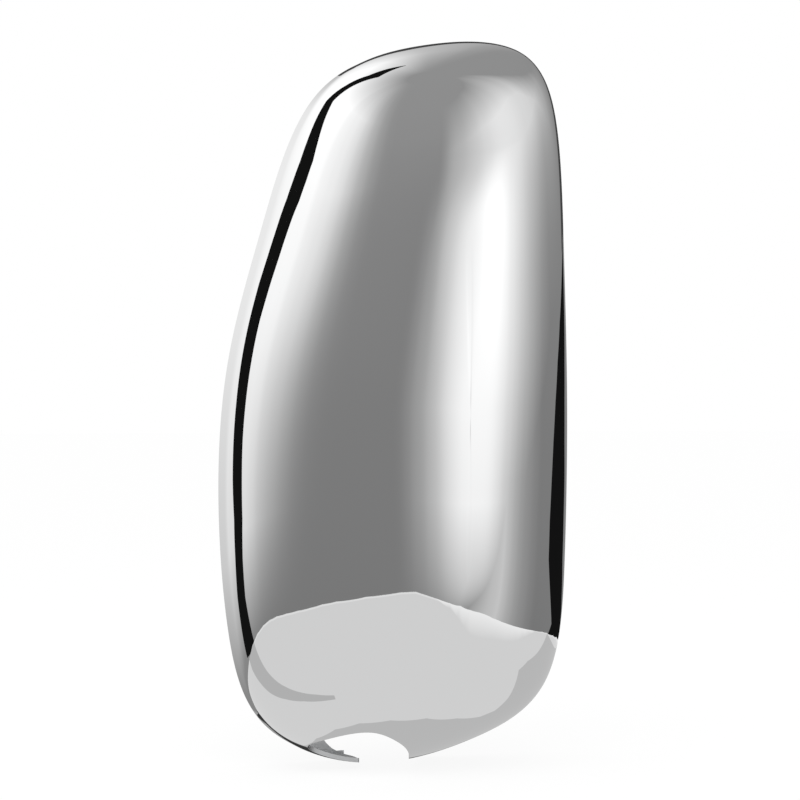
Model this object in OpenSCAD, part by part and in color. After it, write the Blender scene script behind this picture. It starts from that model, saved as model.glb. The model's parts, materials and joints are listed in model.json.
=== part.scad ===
// Clip-on cover for the head of a tall wing mirror, moulded in one piece and chrome plated.
// The cover stands as it does on the vehicle: Z is up, the dome bulges towards -Y,
// and the rim lies in the plane y = 0 with the open side facing +Y.

/* [Cover] */
// Height of the cover over its rim
cover_h = 488; // [400:4:560]
// Width of the cover over its rim
cover_w = 232; // [200:2:270]
// Depth from the rim plane to the front of the dome
cover_d = 116; // [95:1:140]
// Thickness of the moulding
skin_t = 2.8; // [2:0.1:3.6]

/* [Wall and dome] */
// Depth of the straight wall between the rim and the dome
wall_run = 26; // [18:1:34]
// Draft of the wall, in degrees
draft = 1.5; // [0.5:0.25:3]
// Squareness of the dome from front to back: 2 is a circle, more is squarer
dome_power = 2.1; // [1.9:0.05:2.6]
// Squareness of the broad shoulder, on the side away from the vehicle
broad_power = 2.8; // [2.4:0.1:4]
// Squareness of the tight shoulder, on the side next to the vehicle
tight_power = 3.6; // [3:0.1:5]
// Squareness of the shoulder at the top
top_power = 3.6; // [3:0.1:5]
// Squareness of the shoulder at the bottom
bottom_power = 3.0; // [2.6:0.1:4]
// Share of the half height that the crown's spine takes up
spine_share = 0.45; // [0.3:0.05:0.6]
// Share of the depth that the dome loses from its crown to its sides
crown_fall_x = 0.08; // [0:0.01:0.2]
// Share of the depth that the dome loses from its crown to its ends
crown_fall_z = 0.14; // [0:0.01:0.25]
// Place of the crown to the side of the middle
crown_x = 26; // [0:1:40]
// Place of the crown above the middle
crown_z = -10; // [-40:1:40]

/* [Rim] */
// Height of the inner half of the wall that stands past the outer half, into the mirror head
lip_h = 3; // [1.5:0.5:6]

/* [Arm cut-out] */
// Place of the cut-out's middle to the side of the cover's middle
arm_x = -17; // [-30:1:0]
// Width of the cut-out
arm_w = 92; // [70:1:100]
// Reach of the cut-out from the rim plane towards the front
arm_reach = 74; // [60:1:84]
// Height above the cover's lowest point up to which the wall is cut away
arm_rise = 45; // [36:1:60]
// Height of the flanges that stiffen the wall beside the cut-out
flange_h = 12; // [6:1:18]
// Thickness of a flange
flange_t = 2.2; // [1.6:0.2:3.2]
// Run of a flange's hollow end, from nothing at the cut-out to its full height
flange_run = 15; // [8:1:24]

/* [Snap catches] */
// Width of one catch along the rim
catch_w = 16; // [10:1:24]
// How far a catch stands in from the wall
catch_reach = 3.2; // [2:0.1:5]
// Depth of a catch's flat face below the rim plane
catch_depth = 13; // [9:0.5:18]
// Length of the ramp that leads over a catch
catch_ramp = 7; // [4:0.5:9]
// Height of the guide ribs on both sides of a catch
guide_h = 1.8; // [1:0.2:3]
// Thickness of a guide rib
guide_t = 1.6; // [1:0.2:2.4]

/* [Locating pins] */
// Radius of a locating pin
pin_r = 3; // [2:0.1:4.5]
// Length of a locating pin
pin_l = 12; // [8:0.5:18]
// Radius of the boss that carries a pin
boss_r = 7; // [5.5:0.5:10]
// Depth of a boss's shoulder below the rim plane
boss_depth = 46; // [38:1:60]
// Place of the pins to the side of the middle
pin_x = 0; // [-10:1:20]
// Height of a pin above or below the crown
pin_spread = 105; // [80:5:130]
// Reach of a gusset from the side of its boss
gusset_reach = 15; // [8:1:22]

/* [Stiffening ribs] */
// Height of a rib above the inside of the skin
rib_h = 7; // [4:0.5:12]
// Thickness of a rib
rib_t = 2.2; // [1.6:0.2:3]
// Half length of a cross rib
rib_half = 50; // [30:2:56]
// Half length of the upright rib
rib_rise = 140; // [100:5:160]
// Distance between two cross ribs
rib_pitch = 70; // [50:2:80]

/* [Hidden] */
$fn = 48;
// Facets of the moulding: sections round the rim, rings on the wall and rings on the dome
round_steps = 96;
wall_steps = 3;
dome_steps = 17;
cap_steps = 4;
// Crowding of the dome's rings towards the shoulder: 1 is even, more is denser
dome_crowding = 1.25;
// Steps along a rib's curved edges
rib_steps = 20;
// Samples between two of the rim's control points, for its size and for its reach from the crown
size_steps = 20;
reach_steps = 8;
// Samples between two control points of the arm cut-out
arm_steps = 4;
// Halvings in the search for the skin's depth
halvings = 16;
// Overlap of parts that are fused
bite = 0.4;
// The rim's control polygon, in half widths and half heights, from the vehicle's side up and round
rim_shape = [
    [0.98, 0], [0.945, 0.45], [0.94, 0.82], [0.80, 1.05], [0.12, 1.03],
    [-0.54, 0.93], [-0.80, 0.48], [-1.02, 0.13], [-1.07, -0.25], [-1.01, -0.66],
    [-0.86, -0.94], [-0.21, -1.05], [0.44, -0.965], [0.93, -0.845], [0.965, -0.465]];
// Where the cut-out's two sides meet the rim, in half widths from its middle
arm_inner = 0.89;
arm_outer = -0.37;
// The arm cut-out's control polygon, in half widths and reaches: a broad mouth in front, and on
// the outer side a finger of wall left standing along the rim; a point is repeated for a corner
arm_shape = [
    [arm_inner, 0.2], [arm_inner, 0.2], [arm_inner, 0], [0.5, -0.54], [0.5, -0.54], [0.38, -0.86],
    [0.15, -1], [-0.2, -1.07], [-0.59, -0.96], [-0.87, -0.79], [-1.03, -0.62], [-1, -0.49],
    [-0.85, -0.46], [-0.5, -0.45], [-0.2, -0.45], [-0.2, -0.45], [-0.17, -0.2], [-0.33, -0.04],
    [arm_outer, 0.2], [arm_outer, 0.2]];
// Stretches of the rim that carry the two flanges, in steps of the rim's control polygon
outer_flange = [9.9, 10.95];
inner_flange = [12.35, 11.65];
// Hollowness of a flange's end: 1 is straight, more is hollower
flange_hollow = 1.7;
// Places of the catches round the rim, in steps of the rim's control polygon
catch_places = [0.6, 2.1, 4.4, 6.3, 7.7, 9.1, 13.6];
// Width of the flat at a catch's tip
catch_nose = 1;
// Length over which a guide rib runs out on the wall
guide_runout = 2;
// Length of the cone at a pin's tip
pin_lead = 1.5;
// Drop from a boss's shoulder to the top of its gussets, and the height that a gusset ends with
gusset_drop = 6;
gusset_toe = 1;
crown = [crown_x, crown_z];
dome_d = cover_d - wall_run;
// Angle of the dome's profile at the last ring before the spine
last_turn = 88.5;
// Step for slopes, in steps along and round the skin
tiny = 0.02;

// A point of a closed cubic B-spline, t running over the control points
function spline(c, t) =
    let (n = len(c), i = floor(t), f = t - i,
         a = c[(i + n - 1) % n], b = c[i % n], d = c[(i + 1) % n], e = c[(i + 2) % n])
    ((1 - f) ^ 3 * a + (3 * f ^ 3 - 6 * f ^ 2 + 4) * b
     + (-3 * f ^ 3 + 3 * f ^ 2 + 3 * f + 1) * d + f ^ 3 * e) / 6;

// The lowest and highest corner of the rim's curve, before it is brought to size
rim_samples = [for (i = [0 : size_steps * len(rim_shape) - 1]) spline(rim_shape, i / size_steps)];
rim_low = [min([for (p = rim_samples) p[0]]), min([for (p = rim_samples) p[1]])];
rim_high = [max([for (p = rim_samples) p[0]]), max([for (p = rim_samples) p[1]])];

// The rim's outline in X and Z, at its real width and height round the origin
function rim_point(t) =
    let (p = spline(rim_shape, t) - (rim_low + rim_high) / 2, span = rim_high - rim_low)
    [p[0] * cover_w / span[0], p[1] * cover_h / span[1]];

// Squareness of the shoulder in the direction a, blended round the four sides
function shoulder(a) =
    (broad_power + tight_power + top_power + bottom_power) / 4
    + (tight_power - broad_power) / 2 * cos(a)
    + (top_power - bottom_power) / 2 * sin(a);

// Share of the depth that is left at a place in X and Z
function crown_share(p) =
    1 - crown_fall_x * ((p[0] - crown_x) / (cover_w / 2)) ^ 2
    - crown_fall_z * ((p[1] - crown_z) / (cover_h / 2)) ^ 2;

// A point of the outer skin: t goes round, and s goes from 0 at the rim over 1 at the shoulder to 2
// near the crown, where the rings have closed to a narrow loop along the spine, and on to 3 at the crown
function skin_point(t, s) =
    let (d = rim_point(t) - crown,
         power = shoulder(atan2(d[1], d[0])),
         turn = last_turn * min(max(s - 1, 0), 1),
         depth = wall_run * min(s, 1) + dome_d * sin(turn) ^ (2 / dome_power),
         draw = cos(turn) ^ (2 / power),
         taper = (1 - tan(draft) * depth / norm(d)) * (3 - max(s, 2)),
         p = crown + taper * [d[0] * draw, d[1] * (spine_share + (1 - spine_share) * draw)])
    [p[0], -depth * crown_share(p), p[1]];

// The inward normal of the skin
function skin_normal(t, s) =
    let (n = cross(skin_point(t, s + tiny) - skin_point(t, max(s - tiny, 0)),
                   skin_point(t + tiny, s) - skin_point(t - tiny + len(rim_shape), s)))
    n / norm(n);

// A point at a distance under the outer skin; on the rim it stays in the rim plane
function under_skin(t, s, inset) =
    let (p = skin_point(t, s), q = p + inset * skin_normal(t, s))
    s == 0 ? [q[0], 0, q[2]] : q;

function cover_turns() = [for (i = [0 : round_steps - 1]) i * len(rim_shape) / round_steps];
// Heights of the rings, denser towards the shoulder
function ring_heights(first) = concat(
    [for (i = [0 : wall_steps]) first + (1 - first) * i / wall_steps],
    [for (i = [1 : dome_steps]) 1 + (i / dome_steps) ^ dome_crowding],
    [for (i = [1 : cap_steps - 1]) 2 + i / cap_steps]);

// Faces between two rings of points, and the faces from a ring to a pole
function band(a, b, n) = [for (i = [0 : n - 1]) let (j = (i + 1) % n)
    each [[a + i, b + j, a + j], [a + i, b + i, b + j]]];
function fan(a, pole, n, out) = [for (i = [0 : n - 1]) let (j = (i + 1) % n)
    out ? [a + j, a + i, pole] : [a + i, a + j, pole]];

// The moulded skin with its stepped rim
module skin() {
    turns = cover_turns();
    outer = ring_heights(lip_h / wall_run);
    inner = ring_heights(0);
    step_s = lip_h / wall_run;
    rings = concat(
        [for (k = [len(inner) - 1 : -1 : 0]) [for (t = turns) under_skin(t, inner[k], skin_t)]],
        [[for (t = turns) under_skin(t, 0, skin_t / 2)]],
        [[for (t = turns) under_skin(t, step_s, skin_t / 2)]],
        [for (s = outer) [for (t = turns) skin_point(t, s)]]);
    points = concat([for (r = rings) each r],
        [[crown_x, skin_t - cover_d, crown_z], [crown_x, -cover_d, crown_z]]);
    last = (len(rings) - 1) * round_steps;
    faces = concat(
        [for (k = [0 : len(rings) - 2]) each band(k * round_steps, (k + 1) * round_steps, round_steps)],
        fan(0, len(points) - 2, round_steps, false),
        fan(last, len(points) - 1, round_steps, true));
    polyhedron(points, faces);
}

// Direction of a place as seen from the crown, from 0 at the rim's first point to 360
first_way = rim_point(0) - crown;
function way(d) = let (a = atan2(first_way[0] * d[1] - first_way[1] * d[0], first_way * d))
    a < 0 ? a + 360 : a;
rim_reach = concat(
    [for (i = [0 : reach_steps * len(rim_shape) - 1])
        let (d = rim_point(i / reach_steps) - crown) [way(d), norm(d)]],
    [[360, norm(first_way)]]);

// How far the dome's rings have drawn in where they pass a place, found by halving
function draw_at(d, lo, hi, n) =
    let (m = (lo + hi) / 2, e = [d[0] / m, d[1] / (spine_share + (1 - spine_share) * m)])
    n == 0 ? m
        : norm(e) > lookup(way(e), rim_reach) ? draw_at(d, m, hi, n - 1)
        : draw_at(d, lo, m, n - 1);

// Depth of the outer skin below the rim plane at a place in X and Z
function skin_depth(x, z) =
    let (d = [x, z] - crown,
         m = draw_at(d * (1 + tan(draft) * cover_d / cover_w * 2), 0, 1, halvings),
         e = [d[0] / m, d[1] / (spine_share + (1 - spine_share) * m)],
         power = shoulder(atan2(e[1], e[0])))
    (wall_run + dome_d * (1 - m ^ power) ^ (1 / dome_power)) * crown_share([x, z]);

// A plate in a plane of constant Z, cut from an outline in X and depth
module level_plate(z, t) {
    translate([0, 0, z - t / 2]) linear_extrude(t) children();
}

// A plate in a plane of constant X, cut from an outline in Z and depth
module upright_plate(x, t) {
    translate([x + t / 2, 0, 0]) rotate([0, -90, 0]) linear_extrude(t) children();
}

// The cut-out for the mirror's arm, as an outline in X and Y that runs through the bottom wall
module arm_cut() {
    n = len(arm_shape);
    translate([arm_x, 0, -cover_h]) linear_extrude(cover_h / 2 + arm_rise)
        polygon([for (i = [0 : arm_steps * n - 1]) let (p = spline(arm_shape, i / arm_steps))
            [p[0] * arm_w / 2, p[1] * arm_reach]]);
}

// A flange on the inside of the bottom wall, just below the rim; it dies away in a hollow curve
// towards the cut-out's edge and stands full height over the rest of its length
module arm_flange(span, edge) {
    foot = [for (i = [0 : rib_steps]) let (t = span[0] + (span[1] - span[0]) * i / rib_steps)
        under_skin(t, 0, skin_t / 2)];
    outline = concat([for (q = foot) [q[0], q[2]]],
        [for (i = [rib_steps : -1 : 0]) let (q = foot[i], run = min(abs(q[0] - edge) / flange_run, 1))
            [q[0], q[2] + skin_t + flange_h * run ^ flange_hollow]]);
    translate([0, -lip_h, 0]) rotate([90, 0, 0]) linear_extrude(flange_t) polygon(outline);
}

// A snap catch with a guide rib on each side, at a place round the rim
module snap_catch(t) {
    n = skin_normal(t, 0);
    seat = under_skin(t, 0, skin_t);
    root = -skin_t / 2;
    translate(seat) rotate([0, -atan2(n[2], n[0]), 0]) {
        translate([0, 0, -catch_w / 2]) linear_extrude(catch_w) polygon([
            [root, catch_ramp - catch_depth], [bite, catch_ramp - catch_depth],
            [catch_reach, catch_nose - catch_depth], [catch_reach, -catch_depth], [root, -catch_depth]]);
        for (side = [-1, 1])
            translate([0, 0, side * (catch_w / 2 + 2 * guide_t) - guide_t / 2])
                linear_extrude(guide_t) polygon([
                    [root, -lip_h], [bite, -lip_h], [guide_h, -lip_h - guide_h],
                    [guide_h, guide_runout - wall_run], [root, -wall_run]]);
    }
}

// Outline of a gusset beside a boss: middle is the boss's place, side the way out from it,
// and depths are the skin's under the boss and at the gusset's foot
function gusset(middle, side, depths) =
    let (root = middle + side * (boss_r - bite), edge = middle + side * (boss_r + gusset_toe),
         foot = middle + side * (boss_r + gusset_reach), top = -boss_depth - gusset_drop)
    [[root, top], [edge, top], [foot, skin_t + gusset_toe - depths[1]],
     [foot, skin_t / 2 - depths[1]], [root, skin_t / 2 - depths[0]]];

// A locating pin on its boss, with four gussets down to the skin
module locating_pin(x, z) {
    translate([x, -boss_depth, z]) rotate([90, 0, 0])
        cylinder(r = boss_r, h = skin_depth(x, z) - skin_t / 2 - boss_depth);
    translate([x, pin_l - pin_lead - boss_depth, z]) rotate([90, 0, 0])
        cylinder(r = pin_r, h = pin_l - pin_lead + bite);
    translate([x, pin_l - boss_depth, z]) rotate([90, 0, 0])
        cylinder(r1 = pin_r - pin_lead / 2, r2 = pin_r, h = pin_lead);
    for (side = [-1, 1]) {
        reach = side * (boss_r + gusset_reach);
        level_plate(z, rib_t) polygon(gusset(x, side, [skin_depth(x, z), skin_depth(x + reach, z)]));
        upright_plate(x, rib_t) polygon(gusset(z, side, [skin_depth(x, z), skin_depth(x, z + reach)]));
    }
}

// Height of a rib at a share of its half length: full in the middle and run out at the ends
function rib_rise_at(u) = rib_h * (1 - abs(u) ^ 3);

// Outline of a rib whose front edge lies inside the skin and whose back edge follows it
function rib_outline(places, depths) = let (n = len(places) - 1) concat(
    [for (i = [0 : n]) [places[i], skin_t / 2 - depths[i]]],
    [for (i = [n : -1 : 0]) [places[i], skin_t + rib_rise_at(2 * i / n - 1) - depths[i]]]);

// The stiffening ribs inside the dome: one upright rib along the crown and three across it
module ribs() {
    across = [for (i = [0 : rib_steps]) crown_x + rib_half * (2 * i / rib_steps - 1)];
    for (k = [-1 : 1]) let (z = crown_z + k * rib_pitch)
        level_plate(z, rib_t) polygon(rib_outline(across, [for (x = across) skin_depth(x, z)]));
    along = [for (i = [0 : rib_steps]) crown_z + rib_rise * (2 * i / rib_steps - 1)];
    upright_plate(crown_x, rib_t) polygon(rib_outline(along, [for (z = along) skin_depth(crown_x, z)]));
}

module cover_shell() {
    color([0.8, 0.81, 0.82]) difference() {
        union() {
            skin();
            arm_flange(outer_flange, arm_x + arm_outer * arm_w / 2);
            arm_flange(inner_flange, arm_x + arm_inner * arm_w / 2);
            for (t = catch_places) snap_catch(t);
            for (side = [-1, 1]) locating_pin(pin_x, crown_z + side * pin_spread);
            ribs();
        }
        arm_cut();
    }
}

cover_shell();
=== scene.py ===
# %% [markdown]
# A clip-on cover for the head of a tall wing mirror. The real one is one moulding of plastic, chrome plated.
# Nothing shows on a polished shell but its shape and the studio round it, so this lesson has two halves:
# the shell is shaped ring by ring from the same rules as its construction, and then a studio of soft boxes,
# black flags and a pale sheet is built for it to reflect.

# %% Load the fixed frame
import json
import math

import bmesh
import bpy
import numpy as np
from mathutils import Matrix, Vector
from mathutils.bvhtree import BVHTree

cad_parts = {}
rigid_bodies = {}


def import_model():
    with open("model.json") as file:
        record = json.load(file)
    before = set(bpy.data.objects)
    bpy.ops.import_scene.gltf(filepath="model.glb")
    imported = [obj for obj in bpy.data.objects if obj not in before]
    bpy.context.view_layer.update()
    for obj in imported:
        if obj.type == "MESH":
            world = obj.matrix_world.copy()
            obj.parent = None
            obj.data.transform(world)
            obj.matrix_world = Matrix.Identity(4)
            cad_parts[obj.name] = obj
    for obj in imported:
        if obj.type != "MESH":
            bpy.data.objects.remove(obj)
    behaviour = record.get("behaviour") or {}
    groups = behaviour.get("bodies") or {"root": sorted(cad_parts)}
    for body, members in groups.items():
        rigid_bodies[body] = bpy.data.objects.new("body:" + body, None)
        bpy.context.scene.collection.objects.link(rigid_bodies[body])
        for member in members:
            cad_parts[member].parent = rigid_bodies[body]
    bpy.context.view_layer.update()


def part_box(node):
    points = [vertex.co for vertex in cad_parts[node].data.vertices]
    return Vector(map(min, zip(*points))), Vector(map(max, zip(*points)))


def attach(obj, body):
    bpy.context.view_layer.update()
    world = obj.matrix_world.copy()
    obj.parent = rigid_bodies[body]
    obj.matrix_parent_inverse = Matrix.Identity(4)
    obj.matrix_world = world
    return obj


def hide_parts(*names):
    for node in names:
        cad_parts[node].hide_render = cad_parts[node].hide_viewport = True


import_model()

MM = 0.001
shell_low, shell_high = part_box("cover_shell")
print("the packed cover measures", [round(v / MM) for v in shell_high - shell_low], "mm")

# %% [markdown]
# The camera stands level with the middle of the cover, a little to the left of its front, and far enough
# away that the cover looks tall and calm. A long lens keeps it large in the picture.

# %% The camera
CAMERA_AZIMUTH = math.radians(-15)      # to the left of straight in front
CAMERA_DISTANCE = 1.5                   # metres
SENSOR_WIDTH, FOCAL_LENGTH = 36, 101.25     # millimetres
AIM = Vector((0, -40 * MM, 0))          # inside the dome, so that the whole depth is in the picture
camera_data = bpy.data.cameras.new("camera")
camera_data.sensor_width, camera_data.lens = SENSOR_WIDTH, FOCAL_LENGTH
camera = bpy.data.objects.new("camera", camera_data)
bpy.context.scene.collection.objects.link(camera)
away = Vector((math.sin(CAMERA_AZIMUTH), -math.cos(CAMERA_AZIMUTH), 0))
camera.location = AIM + CAMERA_DISTANCE * away
camera.rotation_euler = (math.radians(90), 0, CAMERA_AZIMUTH)
bpy.context.scene.camera = camera
print("camera at", [round(c, 3) for c in camera.location])

# %% [markdown]
# The finish is two metals in one piece. Outside, the plate is polished to a mirror. Inside nobody polished the
# tool, so the same plate looks satin and a little darker. Real chrome is never quite flat or quite clean: a
# very faint swell bends the reflections, and a fine haze comes and goes. Both are procedural, and both are so
# weak that they only show where a sharp edge is reflected. A painted picture of stripes could fake the shine,
# but it would stay glued to the surface, where real reflections slide as the camera moves.

# %% Helpers for shaders
def start_nodes(owner):
    """An empty node tree of a material or a world."""
    owner.use_nodes = True
    owner.node_tree.nodes.clear()
    return owner.node_tree


def add_node(tree, kind, settings=None, **inputs):
    """Adds a node; a keyword names an input, whose value is a constant or another node's output."""
    made = tree.nodes.new(kind)
    for key, value in (settings or {}).items():
        setattr(made, key, value)
    for key, value in inputs.items():
        socket = made.inputs[int(key[1:])] if key[0] == "_" else made.inputs[key.replace("_", " ")]
        if isinstance(value, bpy.types.NodeSocket):
            tree.links.new(value, socket)
        else:
            socket.default_value = value
    return made


def noise(tree, place, scale, detail):
    """A cloudy pattern between 0 and 1."""
    return add_node(tree, "ShaderNodeTexNoise", Vector=place, Scale=scale, Detail=detail).outputs["Fac"]


def ranged(tree, value, low, high, to_low, to_high):
    """Runs evenly from to_low to to_high while the value goes from low to high, and stays there outside."""
    return add_node(tree, "ShaderNodeMapRange", Value=value, From_Min=low, From_Max=high,
                    To_Min=to_low, To_Max=to_high).outputs[0]


# %% Polished and satin plate
CHROME_REFLECTS = 0.82
SATIN_REFLECTS = 0.62
HAZE_SCALE, HAZE_DETAIL = 45, 4
HAZE_THIN, HAZE_THICK = 0.3, 0.7        # the part of the pattern over which the haze grows


def plated_metal(name, reflects, tint, haze, swell_scale, swell_height, grain_scale, grain_height):
    """Chrome plate with a faint haze and two sizes of unevenness; haze is its lowest and highest roughness."""
    metal = bpy.data.materials.new(name)
    tree = start_nodes(metal)
    place = add_node(tree, "ShaderNodeTexCoord").outputs["Object"]
    swell = add_node(tree, "ShaderNodeBump", Height=noise(tree, place, swell_scale, 1),
                     Strength=1.0, Distance=swell_height)
    grain = add_node(tree, "ShaderNodeBump", Height=noise(tree, place, grain_scale, 3),
                     Strength=1.0, Distance=grain_height, Normal=swell.outputs[0])
    plate_shader = add_node(tree, "ShaderNodeBsdfPrincipled", Metallic=1.0,
                            Base_Color=(*(reflects * t for t in tint), 1), Normal=grain.outputs[0],
                            Roughness=ranged(tree, noise(tree, place, HAZE_SCALE, HAZE_DETAIL),
                                             HAZE_THIN, HAZE_THICK, *haze))
    add_node(tree, "ShaderNodeOutputMaterial", Surface=plate_shader.outputs[0])
    return metal


polished = plated_metal("polished_chrome_plate", CHROME_REFLECTS, tint=(0.998, 1.0, 1.002),
                        haze=(0.005, 0.014), swell_scale=18, swell_height=0.02 * MM,
                        grain_scale=400, grain_height=0.0002 * MM)
satin = plated_metal("satin_chrome_plate", SATIN_REFLECTS, tint=(0.99, 1.0, 1.01),
                     haze=(0.26, 0.38), swell_scale=60, swell_height=0.03 * MM,
                     grain_scale=1500, grain_height=0.02 * MM)
print("finishes:", polished.name, "and", satin.name)

# %% [markdown]
# The rim is drawn as a designer draws it: fifteen control points pull a closed smooth curve into shape,
# and the curve is then brought to the cover's real width and height. The points are shares of the half
# width and half height, starting at the vehicle's side and going up and round.

# %% The rim's curve
# The cover is 488 mm high. This finer mesh would stand a hair past the solid's coarser corners, so it is
# made that much shorter.
COVER_W, COVER_H, COVER_D = 232 * MM, 487.8 * MM, -shell_low.y
MEASURE_STEPS = 20                      # steps between two control points when the curve is measured
RIM_SHAPE = np.array([
    (0.98, 0), (0.945, 0.45), (0.94, 0.82), (0.80, 1.05), (0.12, 1.03),
    (-0.54, 0.93), (-0.80, 0.48), (-1.02, 0.13), (-1.07, -0.25), (-1.01, -0.66),
    (-0.86, -0.94), (-0.21, -1.05), (0.44, -0.965), (0.93, -0.845), (0.965, -0.465)])


def smooth_curve(points, t):
    """Points of a closed cubic B-spline; t runs over the control points."""
    whole = np.floor(t).astype(int)
    f = (t - whole)[:, None]
    a, b, c, d = (points[(whole + k) % len(points)] for k in (-1, 0, 1, 2))
    return ((1 - f) ** 3 * a + (3 * f ** 3 - 6 * f ** 2 + 4) * b
            + (-3 * f ** 3 + 3 * f ** 2 + 3 * f + 1) * c + f ** 3 * d) / 6


drawn = smooth_curve(RIM_SHAPE, np.arange(MEASURE_STEPS * len(RIM_SHAPE)) / MEASURE_STEPS)
rim_middle = (drawn.min(0) + drawn.max(0)) / 2
rim_scale = np.array((COVER_W, COVER_H)) / (drawn.max(0) - drawn.min(0))
print("rim", np.round((drawn.max(0) - drawn.min(0)) * rim_scale / MM, 1), "mm wide and high")

# %% [markdown]
# The skin grows out of the rim: first a nearly straight wall, then a dome whose rings shrink towards an
# upright spine. A superellipse sets how square the shoulder is, sharper next to the vehicle and at the top.
# Real designers work with such rules because one change then moves the whole surface without a dent.

# %% The rule for the skin
SKIN_T = 2.8 * MM
WALL_RUN = 26 * MM                      # depth of the drafted wall, from the rim to the shoulder
DRAFT = math.tan(math.radians(1.5))
DOME_POWER = 2.1                        # how full the dome is: 2 would be a plain round
BROAD, TIGHT, TOP, BOTTOM = 2.8, 3.6, 3.6, 3.0      # squareness away from and next to the vehicle, up and down
SPINE_SHARE = 0.45                      # length of the spine, as a share of the rim's height
CROWN = np.array((26 * MM, -10 * MM))
CROWN_FALL = np.array((0.08, 0.14))     # how much shallower the dome gets towards its sides and its ends
RING_CROWDING = 1.5                     # above 1 the rings crowd where the dome bends most
NARROWEST = 1 / 90                      # what is left of the way to the spine at the dome's last ring
SLOPE_STEP = 0.004                      # a short step along the skin or round it, to feel its slope
LAST_SLOPE = 2.9                        # the crown itself has no direction, so it takes the slope from here


def skin_point(t, s):
    """A point of the outer skin: s is 0 on the rim, 1 at the shoulder, 2 at the spine and 3 on the crown."""
    d = (smooth_curve(RIM_SHAPE, t) - rim_middle) * rim_scale - CROWN
    reach = np.linalg.norm(d, axis=1)
    power = ((BROAD + TIGHT + TOP + BOTTOM) / 4 + (TIGHT - BROAD) / 2 * d[:, 0] / reach
             + (TOP - BOTTOM) / 2 * d[:, 1] / reach)
    left = 1 - np.clip(s - 1, 0, 1 - NARROWEST)
    turn = math.pi / 2 * (1 - left ** RING_CROWDING)
    depth = WALL_RUN * np.minimum(s, 1) + (COVER_D - WALL_RUN) * np.sin(turn) ** (2 / DOME_POWER)
    draw = np.cos(turn) ** (2 / power)
    taper = (1 - DRAFT * depth / reach) * (3 - np.maximum(s, 2))
    x = CROWN[0] + taper * d[:, 0] * draw
    z = CROWN[1] + taper * d[:, 1] * (SPINE_SHARE + (1 - SPINE_SHARE) * draw)
    off = (np.stack((x, z), 1) - CROWN) / (np.array((COVER_W, COVER_H)) / 2)
    return np.stack((x, -depth * (1 - (CROWN_FALL * off ** 2).sum(1)), z), 1)


def under_skin(t, s, inset):
    """The same point, moved into the wall by the inset."""
    near = np.minimum(s, LAST_SLOPE)
    along = skin_point(t, near + SLOPE_STEP) - skin_point(t, np.maximum(near - SLOPE_STEP, 0))
    inward = np.cross(along, skin_point(t + SLOPE_STEP, s) - skin_point(t - SLOPE_STEP, s))
    inward /= np.linalg.norm(inward, axis=1)[:, None]
    return skin_point(t, s) + inset[:, None] * inward


print("deepest point", np.round(skin_point(np.array((0.0,)), np.array((3.0,)))[0] / MM, 1), "mm")

# %% [markdown]
# A shell like this could be given its wall by a Solidify modifier, but its rim has a step, and the inside
# starts only a few millimetres from the crown's narrow spine. So the section of the whole moulding is written
# as one list of rings instead: from the crown of the inside, out to the rim, round its stepped edge, and back
# over the outside to the crown. Each ring is a place along the skin and a depth under it.

# %% The rings of the shell
AROUND = 390
INSIDE_RINGS, OUTSIDE_RINGS, CROWN_RINGS = 48, 96, 8    # finer outside, where the polish shows each facet
# Depth below the rim and depth under the skin, in mm, with both corners of the edge eased.
RIM_SECTION = [(0.4, 2.8), (0.12, 2.68), (0, 2.4), (0, 1.8), (0.12, 1.52), (0.4, 1.4), (1.5, 1.4), (3, 1.4),
               (3, 0.4), (3.12, 0.12), (3.4, 0)]


def dome_rings(count):
    """Places along the skin from the shoulder to the spine, and then on to the crown."""
    to_spine = [1 + (1 - NARROWEST) * k / count for k in range(1, count + 1)]
    return to_spine + [2 + k / CROWN_RINGS for k in range(1, CROWN_RINGS)]


wall_depths = [3.9, 6, 9, 12, 15, 18, 21, 23.5, 26]     # mm below the rim
inside = [(d * MM / WALL_RUN, SKIN_T) for d in wall_depths] + [(s, SKIN_T) for s in dome_rings(INSIDE_RINGS)]
rim_edge = [(d * MM / WALL_RUN, inset * MM) for d, inset in RIM_SECTION]
outside = [(d * MM / WALL_RUN, 0) for d in wall_depths] + [(s, 0) for s in dome_rings(OUTSIDE_RINGS)]
RINGS = np.array(inside[::-1] + rim_edge + outside)
print(len(RINGS), "rings of", AROUND, "points")

# %% [markdown]
# The moulding itself starts as a flat grid. It is rolled up into a tube by giving every point its place from
# the rule, the seam is merged, and the two small holes that are left at the crown, one inside and one outside,
# are filled and poked so that each closes in a neat fan with a pole in its middle.

# %% Roll the grid up into the shell
def only(*objects):
    """Deselects everything, selects these objects and makes the first one active."""
    bpy.ops.object.select_all(action="DESELECT")
    for one in objects:
        one.select_set(True)
    bpy.context.view_layer.objects.active = objects[0]


def place_points(obj, points):
    """Moves all points of a mesh at once."""
    obj.data.vertices.foreach_set("co", np.asarray(points, dtype=np.float32).ravel())
    obj.data.update()


def read_points(obj):
    """The places of all points of a mesh, one row each."""
    points = np.empty(3 * len(obj.data.vertices), dtype=np.float32)
    obj.data.vertices.foreach_get("co", points)
    return points.reshape(-1, 3).astype(float)


LEVEL_RIM = 5 * MM          # above this depth the rings keep their depth, so that the rim's edge is level
MERGE_WITHIN = 1e-7

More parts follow.
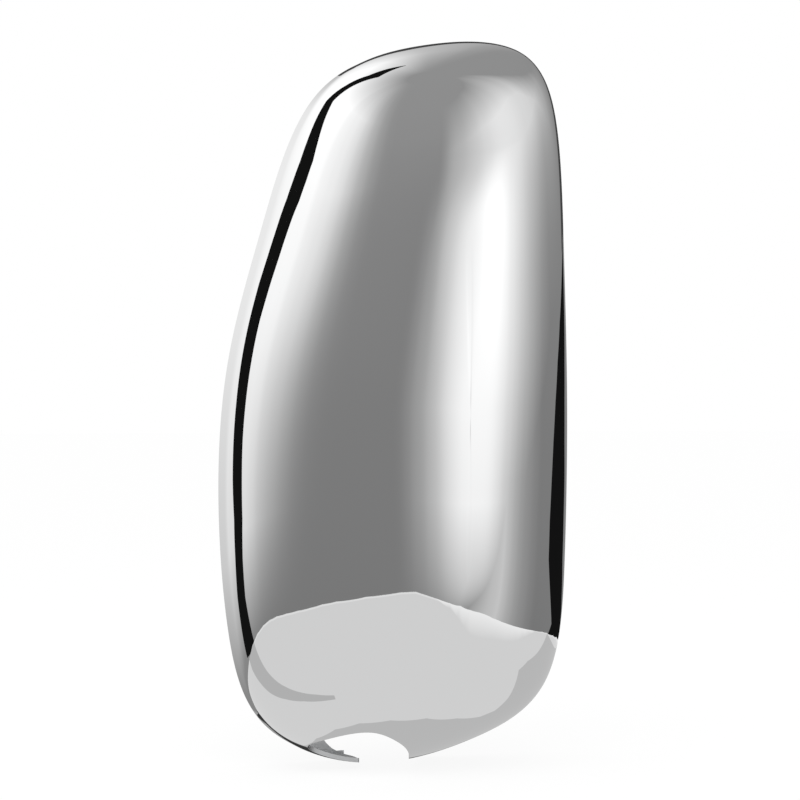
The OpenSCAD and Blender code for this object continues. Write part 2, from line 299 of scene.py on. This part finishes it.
bpy.ops.object.select_all(action="DESELECT")
bpy.ops.mesh.primitive_grid_add(x_subdivisions=AROUND, y_subdivisions=len(RINGS) - 1, size=2)
shell = bpy.context.object
shell.name = shell.data.name = "chrome_cover"
flat = read_points(shell)
step_round = np.round((flat[:, 0] + 1) / 2 * AROUND)
ring = np.round((flat[:, 1] + 1) / 2 * (len(RINGS) - 1)).astype(int)
turn_place = (step_round % AROUND) / AROUND * len(RIM_SHAPE)
place, inset = RINGS[ring, 0], RINGS[ring, 1]
rolled = under_skin(turn_place, place, inset)
near_rim = place * WALL_RUN < LEVEL_RIM
rolled[near_rim, 1] = skin_point(turn_place, place)[near_rim, 1]
place_points(shell, rolled)
shell.data.materials.append(polished)
shell.data.materials.append(satin)
row = np.repeat(np.arange(len(RINGS) - 1), AROUND)
shell.data.polygons.foreach_set("material_index", (row < len(inside)).astype(np.int32))

bpy.ops.object.mode_set(mode="EDIT")
bpy.ops.mesh.select_all(action="SELECT")
bpy.ops.mesh.remove_doubles(threshold=MERGE_WITHIN)
bpy.ops.mesh.fill_holes(sides=0)
bpy.ops.mesh.select_all(action="DESELECT")
bpy.ops.mesh.select_mode(type="FACE")
bpy.ops.mesh.select_face_by_sides(number=4, type="GREATER")
bpy.ops.mesh.poke()
bpy.ops.object.mode_set(mode="OBJECT")

# Of the two fans, the one behind the middle of the skin is the inside's.
for face in shell.data.polygons:
    if len(face.vertices) == 3 and face.center.y > SKIN_T / 2 - COVER_D:
        face.material_index = 1
bpy.ops.object.mode_set(mode="EDIT")
bpy.ops.mesh.select_all(action="SELECT")
bpy.ops.mesh.normals_make_consistent(inside=False)
bpy.ops.object.mode_set(mode="OBJECT")


def volume(obj):
    """Volume of a mesh, and how many of its edges are open."""
    grid = bmesh.new()
    grid.from_mesh(obj.data)
    found = grid.calc_volume(signed=True)
    open_edges = sum(not e.is_manifold for e in grid.edges)
    grid.free()
    return found, open_edges


print(len(shell.data.polygons), "faces, volume and open edges", volume(shell))

# %% [markdown]
# Everything inside the moulding is flat plates and round pegs: ribs that stiffen the dome, gussets, flanges
# and catches. One helper makes any plate. It adds a round disc, moves its corners onto the plate's outline,
# and extrudes the face by the plate's thickness. The plates go a little into the skin, so that the union
# later has something to bite on.

# %% Plates
inner_parts = bpy.data.collections.new("inner_parts")
bpy.context.scene.collection.children.link(inner_parts)


def keep_for_union(obj):
    """Gives an inner part the satin plate and puts it with the others."""
    obj.data.materials.append(polished)
    obj.data.materials.append(satin)
    for face in obj.data.polygons:
        face.material_index = 1
    for home in list(obj.users_collection):
        home.objects.unlink(obj)
    inner_parts.objects.link(obj)


def plate(corners, sweep):
    """A flat plate: the outline is a list of points in space, and sweep is its thickness as a vector."""
    bpy.ops.object.select_all(action="DESELECT")
    bpy.ops.mesh.primitive_circle_add(vertices=len(corners), fill_type="NGON")
    made = bpy.context.object
    place_points(made, corners)
    bpy.ops.object.mode_set(mode="EDIT")
    bpy.ops.mesh.select_all(action="SELECT")
    bpy.ops.mesh.extrude_region_move(TRANSFORM_OT_translate={"value": tuple(sweep)})
    bpy.ops.mesh.select_all(action="SELECT")
    bpy.ops.mesh.normals_make_consistent(inside=False)
    bpy.ops.object.mode_set(mode="OBJECT")
    keep_for_union(made)
    return made


# %% [markdown]
# How deep the skin lies at any place is asked of the shell itself, by shooting a ray at its front and noting
# where it lands. The ribs can then follow the dome without any more arithmetic. A Shrinkwrap modifier would
# do the same for whole meshes, but here only a few corners of each plate need it.

# %% Depth of the skin
WELL_IN_FRONT = -200 * MM
skin_tree = BVHTree.FromPolygons([v.co for v in shell.data.vertices],
                                 [p.vertices for p in shell.data.polygons])


def skin_depth(x, z):
    """Depth of the outer skin below the rim plane."""
    return -skin_tree.ray_cast(Vector((x, WELL_IN_FRONT, z)), Vector((0, 1, 0)))[0].y


print("skin at the crown is", round(skin_depth(*CROWN) / MM, 1), "mm deep")

# %% [markdown]
# The ribs form a ladder behind the crown: one upright rib and three across it. Each is highest in the middle
# and runs out smoothly at its ends, which is how a moulded rib avoids a sink mark in the skin in front of it.

# %% Ribs
RIB_H, RIB_T, RIB_PITCH = 7 * MM, 2.2 * MM, 70 * MM
CROSS_HALF, UPRIGHT_HALF = 50 * MM, 140 * MM        # half lengths of the two kinds of rib
RIB_STEPS = 20
RUNOUT_POWER = 3                        # the higher, the nearer to its ends a rib keeps its height


def rib(middle, half, depth_at, point_at, sweep):
    """A plate from inside the skin to the rib's crest, along either direction."""
    places = [middle + half * (2 * i / RIB_STEPS - 1) for i in range(RIB_STEPS + 1)]
    depths = [depth_at(p) for p in places]
    rises = [RIB_H * (1 - abs(2 * i / RIB_STEPS - 1) ** RUNOUT_POWER) for i in range(RIB_STEPS + 1)]
    front = [point_at(p, SKIN_T / 2 - d) for p, d in zip(places, depths)]
    back = [point_at(p, SKIN_T + r - d) for p, d, r in zip(places, depths, rises)]
    return plate(front + back[::-1], sweep)


for k in (-1, 0, 1):
    z = CROWN[1] + k * RIB_PITCH
    rib(CROWN[0], CROSS_HALF, lambda x: skin_depth(x, z), lambda x, y: (x, y, z - RIB_T / 2), (0, 0, RIB_T))
rib(CROWN[1], UPRIGHT_HALF, lambda z: skin_depth(CROWN[0], z),
    lambda z, y: (CROWN[0] - RIB_T / 2, y, z), (RIB_T, 0, 0))

# %% [markdown]
# Two locating pins stand on round bosses above and below the crown, with four gussets each. The pin's tip is
# a short cone, made by extruding the end face and shrinking it, so that it finds its hole.

# %% Locating pins
PIN_R, PIN_L, PIN_LEAD = 3 * MM, 12 * MM, 1.5 * MM
PIN_TIP = 0.75                          # the tip's radius, as a share of the pin's
PIN_FROM_CROWN = 105 * MM
PEG_SIDES = 48
BOSS_R, BOSS_DEPTH = 7 * MM, 46 * MM
GUSSET_REACH, GUSSET_DROP, GUSSET_TOE, BITE = 15 * MM, 6 * MM, 1 * MM, 0.4 * MM
PINS = [(0, CROWN[1] + PIN_FROM_CROWN), (0, CROWN[1] - PIN_FROM_CROWN)]


def peg(x, z, radius, y_front, y_back):
    """A round bar along Y, between two depths."""
    bpy.ops.object.select_all(action="DESELECT")
    bpy.ops.mesh.primitive_cylinder_add(vertices=PEG_SIDES, radius=radius, depth=y_back - y_front,
                                        location=(x, (y_front + y_back) / 2, z), rotation=(math.pi / 2, 0, 0))
    made = bpy.context.object
    bpy.ops.object.transform_apply(location=True, rotation=True, scale=True)
    keep_for_union(made)
    return made


def pick_faces(obj, wanted):
    """Opens a mesh for editing with just those faces selected whose middle passes the test."""
    only(obj)
    bpy.ops.object.mode_set(mode="EDIT")
    bpy.ops.mesh.select_mode(type="FACE")
    bpy.ops.mesh.select_all(action="DESELECT")
    bpy.ops.object.mode_set(mode="OBJECT")
    for face in obj.data.polygons:
        face.select = wanted(face.center)
    bpy.ops.object.mode_set(mode="EDIT")


def gusset(middle, side, depth_at, point_at, sweep):
    """A plate from the boss's side down to the skin."""
    root, edge = middle + side * (BOSS_R - BITE), middle + side * (BOSS_R + GUSSET_TOE)
    foot, top = middle + side * (BOSS_R + GUSSET_REACH), -BOSS_DEPTH - GUSSET_DROP
    plate([point_at(root, top), point_at(edge, top), point_at(foot, SKIN_T + GUSSET_TOE - depth_at(foot)),
           point_at(foot, SKIN_T / 2 - depth_at(foot)), point_at(root, SKIN_T / 2 - depth_at(middle))], sweep)


for x, z in PINS:
    peg(x, z, BOSS_R, SKIN_T / 2 - skin_depth(x, z), -BOSS_DEPTH)
    pin = peg(x, z, PIN_R, -BOSS_DEPTH - BITE, PIN_L - PIN_LEAD - BOSS_DEPTH)
    pick_faces(pin, lambda middle: middle.y > PIN_L - PIN_LEAD - BOSS_DEPTH - BITE)
    bpy.ops.mesh.extrude_region_move(TRANSFORM_OT_translate={"value": (0, PIN_LEAD, 0)})
    bpy.ops.transform.resize(value=(PIN_TIP, 1, PIN_TIP))
    bpy.ops.object.mode_set(mode="OBJECT")
    for side in (-1, 1):
        gusset(x, side, lambda a: skin_depth(a, z), lambda a, y: (a, y, z - RIB_T / 2), (0, 0, RIB_T))
        gusset(z, side, lambda a: skin_depth(x, a), lambda a, y: (x - RIB_T / 2, y, a), (RIB_T, 0, 0))

# %% [markdown]
# Round the wall sit seven snap catches. Each is a small wedge with a ramp towards the rim and a flat face
# that snaps behind the housing's ledge, between two guide ribs. Its outline is drawn in the plane of the
# wall's own inward direction, and swept along the wall.

# %% Snap catches
LIP_H = 3 * MM
CATCH_W, CATCH_REACH, CATCH_DEPTH, CATCH_RAMP, CATCH_NOSE = 16 * MM, 3.2 * MM, 13 * MM, 7 * MM, 1 * MM
GUIDE_H, GUIDE_T, GUIDE_RUNOUT = 1.8 * MM, 1.6 * MM, 2 * MM
CATCH_PLACES = [0.6, 2.1, 4.4, 6.3, 7.7, 9.1, 13.6]


def wall_plate(t, outline, start, width):
    """A plate on the wall at a place round the rim; the outline is in depth under the wall and height."""
    here = np.array((t,))
    rim = np.array((0.0,))
    skin = skin_point(here, rim)[0]
    inward = under_skin(here, rim, np.array((1.0,)))[0] - skin
    inward = Vector((inward[0], 0, inward[2])).normalized()
    along = Vector((-inward.z, 0, inward.x))
    seat = Vector(skin) + inward * SKIN_T
    plate([seat + inward * u + Vector((0, y, 0)) + along * start for u, y in outline], along * width)


wedge = [(-SKIN_T / 2, CATCH_RAMP - CATCH_DEPTH), (BITE, CATCH_RAMP - CATCH_DEPTH),
         (CATCH_REACH, CATCH_NOSE - CATCH_DEPTH), (CATCH_REACH, -CATCH_DEPTH), (-SKIN_T / 2, -CATCH_DEPTH)]
guide = [(-SKIN_T / 2, -LIP_H), (BITE, -LIP_H), (GUIDE_H, -LIP_H - GUIDE_H),
         (GUIDE_H, GUIDE_RUNOUT - WALL_RUN), (-SKIN_T / 2, -WALL_RUN)]
for t in CATCH_PLACES:
    wall_plate(t, wedge, -CATCH_W / 2, CATCH_W)
    for side in (-1, 1):
        wall_plate(t, guide, side * (CATCH_W / 2 + 2 * GUIDE_T) - GUIDE_T / 2, GUIDE_T)

# %% [markdown]
# The bottom wall is weakened by the cut-out for the mirror's arm, so a flange stands on its inside on both
# sides of it, just below the rim. Its end near the cut-out dies away in a hollow curve.

# %% Flanges beside the cut-out
ARM_X, ARM_W, ARM_REACH, ARM_RISE = -17 * MM, 92 * MM, 74 * MM, 45 * MM
ARM_INNER, ARM_OUTER = 0.89, -0.37
FLANGE_H, FLANGE_T, FLANGE_RUN, FLANGE_HOLLOW = 12 * MM, 2.2 * MM, 15 * MM, 1.7
OUTER_FLANGE, INNER_FLANGE = (9.9, 10.95), (12.35, 11.65)   # places round the rim, ending at the cut-out


def arm_flange(first, last, edge):
    """A plate along the bottom wall, whose height dies away towards the cut-out's edge."""
    turns = np.linspace(first, last, RIB_STEPS + 1)
    foot = under_skin(turns, np.zeros(RIB_STEPS + 1), np.full(RIB_STEPS + 1, SKIN_T / 2))
    low = [(x, -LIP_H, z) for x, _, z in foot]
    high = [(x, -LIP_H, z + SKIN_T + FLANGE_H * min(abs(x - edge) / FLANGE_RUN, 1) ** FLANGE_HOLLOW)
            for x, _, z in foot]
    plate(low + high[::-1], (0, -FLANGE_T, 0))


arm_flange(*OUTER_FLANGE, ARM_X + ARM_OUTER * ARM_W / 2)
arm_flange(*INNER_FLANGE, ARM_X + ARM_INNER * ARM_W / 2)

# %% [markdown]
# The cut-out is drawn as one closed curve seen from below, with a broad mouth in front and a finger of wall
# left standing on the outer side, and pushed up through the bottom wall as a solid block. A Boolean modifier
# first joins the inner parts to the shell, and a second one takes the block away.

# %% Join the inner parts and cut the arm's way
ARM_STEPS = 8                           # steps between two control points of the cut-out
ARM_SHAPE = np.array([
    (ARM_INNER, 0.2), (ARM_INNER, 0.2), (ARM_INNER, 0), (0.5, -0.54), (0.5, -0.54), (0.38, -0.86),
    (0.15, -1), (-0.2, -1.07), (-0.59, -0.96), (-0.87, -0.79), (-1.03, -0.62), (-1, -0.49),
    (-0.85, -0.46), (-0.5, -0.45), (-0.2, -0.45), (-0.2, -0.45), (-0.17, -0.2), (-0.33, -0.04),
    (ARM_OUTER, 0.2), (ARM_OUTER, 0.2)])
cut_turns = np.arange(ARM_STEPS * len(ARM_SHAPE)) / ARM_STEPS
cut_outline = smooth_curve(ARM_SHAPE, cut_turns) * (ARM_W / 2, ARM_REACH)
arm_block = plate([(ARM_X + x, y, -COVER_H) for x, y in cut_outline], (0, 0, COVER_H / 2 + ARM_RISE))
inner_parts.objects.unlink(arm_block)
bpy.context.scene.collection.objects.link(arm_block)

only(shell)
join = shell.modifiers.new("join", "BOOLEAN")
join.operation, join.operand_type, join.solver = "UNION", "COLLECTION", "MANIFOLD"
join.collection = inner_parts
bpy.ops.object.modifier_apply(modifier=join.name)
cut = shell.modifiers.new("cut", "BOOLEAN")
cut.operation, cut.object, cut.solver = "DIFFERENCE", arm_block, "MANIFOLD"
bpy.ops.object.modifier_apply(modifier=cut.name)
for helper in list(inner_parts.objects) + [arm_block]:
    bpy.data.objects.remove(helper)
print(len(shell.data.polygons), "faces, volume and open edges", volume(shell))

# %% [markdown]
# A real moulding has no facets, so the shading is smoothed wherever faces meet at less than a set angle. The
# rim's step, the catches and the cut-out's edges meet at more, and so they stay crisp.

# %% Smooth shading, and the piece's place in the frame
CRISP_FROM = math.radians(48)
only(shell)
bpy.ops.object.shade_smooth_by_angle(angle=CRISP_FROM)
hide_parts("cover_shell")
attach(shell, "root")
print(shell.name, "has", sum(len(p.vertices) - 2 for p in shell.data.polygons), "triangles")

# %% [markdown]
# A mirror has no colour of its own, so the studio is modelled with as much care as the cover. Directions are
# written as a photographer would walk them: an azimuth that runs from straight behind the cover (0) over its
# left side (90) and its front (180) to its right side (270), and an elevation above the horizon. Tones are
# written as the grey, from 0 to 255, that they give when the chrome reflects them.

# %% Tones of the studio
def tone(grey):
    """The brightness that the chrome turns into this grey of the picture, by the standard display curve."""
    c = grey / 255
    linear = c / 12.92 if c <= 0.04045 else ((c + 0.055) / 1.055) ** 2.4
    return linear / CHROME_REFLECTS


# %% [markdown]
# The room itself is the world. Its walls are a plain grey, a little lighter overhead. A broad soft box stands
# on the left, a lower one on the right, and a narrow upright strip glows at the right one's near edge. Area
# lamps could stand in for them, but a lamp's reflection has a hard edge. Here each box is a product of gentle
# ramps over azimuth and elevation, so its edges are as soft as a real diffuser's. Only what mirrors ask for
# sees this room: the camera sees plain white, and the rest is lit plainly.

# %% The room and its soft boxes
world = bpy.data.worlds.new("studio")
bpy.context.scene.world = world
room = start_nodes(world)


def calc(operation, a, b=0.0, clamp=False):
    """One step of arithmetic in the world's nodes."""
    settings = {"operation": operation, "use_clamp": clamp}
    return add_node(room, "ShaderNodeMath", settings, _0=a, _1=b).outputs[0]


def product(*factors):
    """All factors multiplied."""
    result = factors[0]
    for factor in factors[1:]:
        result = calc("MULTIPLY", result, factor)
    return result


def rising(value, start, run):
    """0 up to the start, then evenly up to 1 over the run."""
    return calc("DIVIDE", calc("SUBTRACT", value, start), run, True)


def falling(value, end, run):
    """1, then evenly down to 0 over the run that finishes at the end."""
    return calc("DIVIDE", calc("SUBTRACT", end, value), run, True)


def ramp(value, low, high, stops, smooth="CARDINAL"):
    """A curve through given stops: stops are (value, result) pairs between low and high."""
    made = add_node(room, "ShaderNodeValToRGB", Fac=ranged(room, value, low, high, 0, 1))
    made.color_ramp.interpolation = smooth
    points = made.color_ramp.elements
    points.remove(points[1])
    for k, (at, result) in enumerate(stops):
        point = points[0] if k == 0 else points.new((at - low) / (high - low))
        point.position = (at - low) / (high - low)
        point.color = (result, result, result, 1)
    return made.outputs["Color"]


ray = add_node(room, "ShaderNodeSeparateXYZ",
               Vector=add_node(room, "ShaderNodeTexCoord").outputs["Generated"])
turned = calc("DEGREES", calc("ARCTAN2", calc("MULTIPLY", ray.outputs["X"], -1.0), ray.outputs["Y"]))
azimuth = calc("MODULO", calc("ADD", turned, 360.0), 360.0)
azimuth_left = calc("MODULO", calc("ADD", turned, 450.0), 360.0)    # 90 more, so the left box is in one piece
elevation = calc("DEGREES", calc("ARCSINE", ray.outputs["Z"]))
print("directions take", len(room.nodes), "nodes")

# %% The walls
WALL_GREYS = [(-20, 118), (0, 123), (15, 129), (25, 134), (40, 139), (60, 141), (90, 142)]
walls = ramp(elevation, -90, 90, [(e, tone(grey)) for e, grey in WALL_GREYS], "LINEAR")
print("the walls go from grey", WALL_GREYS[0][1], "to", WALL_GREYS[-1][1])

# %% [markdown]
# The left box is the brightest. Its lower end is straight on the far left, and dies away sooner and sooner
# towards the front, which a power over the azimuth does. Low down, near the pale sheet, the sheet hides a part
# of the lights, so the left box and the strip fade there.

# %% The left soft box
LEFT_GLOW, LEFT_FOOT, LEFT_RISE, LEFT_HEAD, LEFT_FALL = 0.92, -24.0, 50.0, 84.0, 34.0
left_across = ramp(azimuth_left, 0, 360, [
    (55, 0), (62, 0.03), (70, 0.14), (80, 0.38), (90, 0.75), (96, 0.9), (102, 1), (165, 1), (170, 0.91),
    (180, 0.83), (190, 0.75), (200, 0.575), (210, 0.34), (220, 0.155), (230, 0.04), (240, 0)])
sooner = calc("POWER", 2.0, calc("DIVIDE", calc("SUBTRACT", azimuth_left, 180.0), 20.0))
left_bend = calc("MAXIMUM", sooner, ranged(room, azimuth_left, 95, 115, 0.95, 0.42))
left_foot = calc("POWER", rising(elevation, LEFT_FOOT, LEFT_RISE), left_bend)
left_head = falling(elevation, LEFT_HEAD, LEFT_FALL)
low_fade = calc("MAXIMUM", ranged(room, elevation, -16, -6, 0.15, 1), ranged(room, azimuth, 198, 212, 0, 1))
left_box = product(left_across, left_foot, left_head, low_fade, LEFT_GLOW)
print("the left box is", LEFT_GLOW, "bright")

# %% [markdown]
# The right box is weaker and lower, and its top edge sinks towards its far end, as that of a box seen at a
# slant does. The strip is narrow and leans a little, and it stands where the right box begins, so the two
# together make one bright band with a soft far side.

# %% The right soft box
RIGHT_GLOW, RIGHT_RISE, RIGHT_EDGE = 1.22, 31.0, 14.0       # the top edge is this soft to both sides
right_across = ramp(azimuth, 0, 360, [
    (186, 0), (190, 0.12), (195, 0.25), (200, 0.38), (205, 0.46), (210, 0.51), (220, 0.51), (230, 0.475),
    (240, 0.43), (250, 0.41), (260, 0.385), (270, 0.345), (290, 0.33), (300, 0.3), (312, 0.2), (322, 0)])
right_foot = rising(elevation, ranged(room, azimuth, 230, 275, -5, 4), RIGHT_RISE)
right_top = ramp(azimuth, 0, 360, [     # in hundreds of degrees, because a ramp's tones stay under 1
    (190, 0.45), (200, 0.52), (210, 0.57), (220, 0.62), (230, 0.66), (240, 0.66), (250, 0.65), (260, 0.57),
    (270, 0.50), (280, 0.42), (290, 0.34), (300, 0.28), (310, 0.20)])
right_end = calc("ADD", calc("MULTIPLY", right_top, 100.0), RIGHT_EDGE)
right_head = falling(elevation, right_end, 2 * RIGHT_EDGE)
right_box = product(right_across, right_foot, right_head, RIGHT_GLOW)
print("the right box is", RIGHT_GLOW, "bright")

# %% The strip
STRIP_GLOW, STRIP_LEAN = 0.85, 0.45     # the lean is in degrees of azimuth for each degree up
leaning = calc("SUBTRACT", azimuth, calc("MULTIPLY", calc("MAXIMUM", elevation, 0.0), STRIP_LEAN))
strip_across = ramp(leaning, 0, 360, [
    (172, 0), (176, 0.04), (180, 0.13), (185, 0.28), (190, 0.55), (195, 0.93), (199, 1), (203, 0.88), (208, 0.64),
    (213, 0.48), (218, 0.34), (224, 0.22), (230, 0.14), (240, 0.07), (250, 0.02), (256, 0)])
strip_up = ramp(elevation, -90, 90, [(-30, 1), (-5, 1), (6, 1), (15, 0.75), (25, 0.13), (32, 0)])
strip = product(strip_across, strip_up, low_fade, STRIP_GLOW)
print("the strip is", STRIP_GLOW, "bright")

# %% [markdown]
# A light path node tells the two uses of the world apart. A mirrored ray gets the studio, and each other ray
# gets plain white, so the background is white and the inside is lit evenly.

# %% Put the room together
mirrored = add_node(room, "ShaderNodeBackground", Color=(1, 1, 1, 1),
                    Strength=calc("ADD", calc("ADD", walls, left_box), calc("ADD", right_box, strip)))
plain = add_node(room, "ShaderNodeBackground", Color=(1, 1, 1, 1), Strength=1.0)
seen_by = add_node(room, "ShaderNodeLightPath")
add_node(room, "ShaderNodeOutputWorld", Surface=add_node(
    room, "ShaderNodeMixShader", _0=seen_by.outputs["Is Glossy Ray"], _1=plain.outputs[0],
    _2=mirrored.outputs[0]).outputs[0])
print("the room has", len(room.nodes), "nodes")

# %% [markdown]
# Two black flags give chrome its drawing: without them a mirror shell in a white room has no form. A pale
# sheet lies in front of the cover below the horizon. They are far larger and farther than in a real studio,
# because then only their directions count. Each is a grid of one row, hung between two lists of directions.

# %% Flags and sheets
FLAG_GREY = 18
# How far away the flags and sheets hang, in metres: each one is nearer than what it covers.
FLAGS, SHEET, HEM, GLOW, SHADOW, GREY, BEHIND = 100, 80, 65, 57, 50, 30, 9


def direction(azimuth_deg, elevation_deg):
    """A step of 1 in a direction of the studio."""
    a, e = math.radians(azimuth_deg), math.radians(elevation_deg)
    return Vector((-math.sin(a) * math.cos(e), math.cos(a) * math.cos(e), math.sin(e)))


def hang(name, grey, distance, one_edge, other_edge, other_grey=None):
    """A lit sheet between two lists of directions, seen only in reflections; it may fade to another grey."""
    bpy.ops.object.select_all(action="DESELECT")
    bpy.ops.mesh.primitive_grid_add(x_subdivisions=len(one_edge) - 1, y_subdivisions=1)
    sheet = bpy.context.object
    sheet.name = name
    place_points(sheet, [distance * direction(*d) for d in one_edge + other_edge])
    lit = bpy.data.materials.new(name)
    tree = start_nodes(lit)
    across = add_node(tree, "ShaderNodeSeparateXYZ", Vector=add_node(tree, "ShaderNodeUVMap").outputs["UV"])
    far_grey = grey if other_grey is None else other_grey
    brightness = ranged(tree, across.outputs["Y"], 0, 1, tone(grey), tone(far_grey))
    light = add_node(tree, "ShaderNodeEmission", Strength=brightness)
    add_node(tree, "ShaderNodeOutputMaterial", Surface=light.outputs[0])
    sheet.data.materials.append(lit)
    for way in ("camera", "diffuse", "transmission", "shadow", "volume_scatter"):
        setattr(sheet, "visible_" + way, False)
    print(name, "has", len(one_edge) - 1, "panels")


# %% [markdown]
# The left flag is a long strip that leans away at its top, so its reflection ends in a fine point. The right
# flag is shorter. The lists hold the directions of the strips' two long edges, from top to bottom.

# %% The two flags
hang("left_flag", FLAG_GREY, FLAGS,
     [(2, 67.2), (12, 63.5), (24, 57), (26, 44), (25, 32.5), (31.5, 28.3), (36, 25.3), (38.5, 22.7), (38, 20.4),
      (37, 18.6), (33, 16.1), (31, 13.9), (32, 11.6), (34.5, 8.3), (37, 4.7), (38.5, 1.3), (40, -1.7), (43, -4.6),
      (42, -7.4), (40, -10.1), (41.5, -14), (43, -17)],
     [(2, 67.6), (12, 67.8), (34, 66.2), (36, 48), (37, 39.2), (47.5, 34.5), (55, 30.8), (60, 27.7), (60.5, 24.7),
      (59.5, 22.5), (55, 20.1), (53.5, 18), (53, 14.7), (55, 10.4), (56.5, 5.8), (57.5, 1.7), (59, -1.9),
      (60, -5.1), (58, -8.2), (57.5, -11.5), (63, -16.5), (65, -18)])
hang("right_flag", FLAG_GREY, FLAGS,
     [(326, 4.7), (314.5, 4), (302.5, 3.1), (293, 1.7), (286, -0.2), (281, -2.3), (278, -4.2), (276, -6),
      (276.5, -7.9), (286, -10.8), (295, -13), (288, -17)],
     [(327, 4.5), (325, 3.5), (323, 2.3), (320, 1.3), (318, 0), (318, -1.3), (320, -2.5), (319.5, -3.8),
      (320, -5), (325.5, -6.3), (332, -6.6), (339, -6.4)])

# %% [markdown]
# The pale sheet fills the directions below the horizon, from behind the cover on the left, round its front,
# to behind it on the right. Its upper edge is the horizon of the lower part of the picture. The edge has a
# light hem, and to the right of the front a painted glow stands for the light that the strip throws on it. A
# painted grey shadow stands for the left flag seen through it, and under the cover it overlaps a greyer sheet.

# %% The pale sheet
horizon = [(3, -16.6), (14, -17.4), (34, -18.6), (48, -18), (60, -17.2), (70, -16.6), (80, -16.3), (88, -16.2),
           (96, -16.2), (105, -16.3), (114, -16.3), (123, -16.2), (131, -15.9), (140, -15.6), (148, -15.4),
           (157, -14.9), (166, -14.5), (174, -13.9), (180.3, -13.5), (184.5, -13.7), (188, -13.9), (192, -14.2),
           (196, -15), (201, -16.9), (205, -18.9), (211, -21.3), (218, -23), (224, -23.8), (230, -24.2),
           (238, -24.1), (245, -23.6), (255, -22.3), (264, -20.9), (275, -18.8), (286, -16.7), (304, -13.2),
           (320, -10), (339, -6.4)]
hang("pale_sheet", 206, SHEET, horizon, [(a, -89) for a, _ in horizon])
HEM_WIDTH = 0.25                        # degrees
hang("pale_sheet_hem", 219, HEM, horizon, [(a, e - HEM_WIDTH) for a, e in horizon])
# Painted light: a brighter patch on the sheet, fading downwards, where the strip would light it.
glow_edge = [(a, e) for a, e in horizon if 186 < a < 268]
glow_fall = [0, 1, 3, 5, 6.5, 7, 7, 7, 6.5, 5.5, 3.5, 1.5, 0]      # how far down the glow reaches, in degrees
hang("pale_sheet_glow", 234, GLOW, glow_edge,
     [(a, e - fall) for (a, e), fall in zip(glow_edge, glow_fall)], other_grey=206)
# Painted shadow: an opaque grey band on the sheet, where the left flag would show through a thin sheet.
hang("painted_flag_shadow_on_sheet", 175, SHADOW,
     [(47, -17.9), (48.5, -20.7), (57.5, -27.3), (68.5, -34.8), (84, -41.8), (103, -47.8), (133, -52.3)],
     [(63, -17.1), (69, -21.8), (79, -28.7), (92, -36), (104, -41.4), (118, -45.8), (133, -49.3)])
hang("grey_sheet", 181, GREY,
     [(287.5, -16.6), (281, -22.1), (264.5, -34.3), (259.5, -40.8), (270, -44.9), (287, -48.3), (298, -50.1),
      (297, -53.4), (278, -61.9), (240, -70.2), (187, -74.6), (141, -75.5), (88, -75.1), (32.5, -64.2), (4, -38.7)],
     [(339, -6.6), (340, -12), (341, -18), (342, -24), (343, -30), (343, -36), (344, -42), (345, -48), (346, -54),
      (348, -60), (350, -62), (352, -60), (355, -54), (358, -46), (2, -38)])

# %% [markdown]
# At a glancing angle the edge of the shell mirrors what lies behind it. Two dark cards there draw the thin
# dark lines that part the chrome from the white: one under the lower left edge, one along the top and right.

# %% Dark cards behind the cover
hang("dark_behind", 50, BEHIND,
     [(342, -15), (349, -15.5), (356, -16), (3, -17)], [(344, -60), (350, -60), (356, -52), (2, -38)])
hang("dark_edge", 60, FLAGS, [(319, 4.5), (321, 9), (324, 14), (331, 19), (340, 26), (349, 30)],
     [(338, 4.5), (343, 7), (347, 10), (351, 14), (354, 18), (356, 24)])

# %% [markdown]
# The floor is plain and white. For the camera most of its brightness is its own, so that it melts into the
# white background, and the rest is lit, so that it still takes the cover's soft shadow.

# %% Floor and lamp
FLOOR_Z, FLOOR_SIZE = -244.5 * MM, 30
LIT_SHARE = 0.12                        # the share of the floor's brightness that takes shadows
LAMP_PLACE, LAMP_SIZE, LAMP_POWER = (-0.6, -0.9, 1.6), (1.6, 1.2), 12       # metres and watts
bpy.ops.object.select_all(action="DESELECT")
bpy.ops.mesh.primitive_plane_add(size=FLOOR_SIZE, location=(0, 0, FLOOR_Z))
floor = bpy.context.object
floor.name = "floor"
white = bpy.data.materials.new("white_floor")
tree = start_nodes(white)
own = add_node(tree, "ShaderNodeEmission", Strength=1.0)
taking_shadow = add_node(tree, "ShaderNodeBsdfDiffuse", Color=(0.95, 0.95, 0.95, 1))
mixed = add_node(tree, "ShaderNodeMixShader", _0=LIT_SHARE, _1=own.outputs[0], _2=taking_shadow.outputs[0])
add_node(tree, "ShaderNodeOutputMaterial", Surface=mixed.outputs[0])
floor.data.materials.append(white)
floor.visible_glossy = False

lamp_data = bpy.data.lights.new("soft_lamp", "AREA")
lamp_data.shape, lamp_data.energy = "RECTANGLE", LAMP_POWER
lamp_data.size, lamp_data.size_y = LAMP_SIZE
lamp = bpy.data.objects.new("soft_lamp", lamp_data)
bpy.context.scene.collection.objects.link(lamp)
lamp.location = LAMP_PLACE
lamp.rotation_euler = (AIM - lamp.location).to_track_quat("-Z", "Y").to_euler()
lamp.visible_glossy = False
print("lamp", LAMP_POWER, "watts, floor", round(FLOOR_Z / MM, 1), "mm below the middle")
bpy.context.scene.view_settings.view_transform = "Standard"
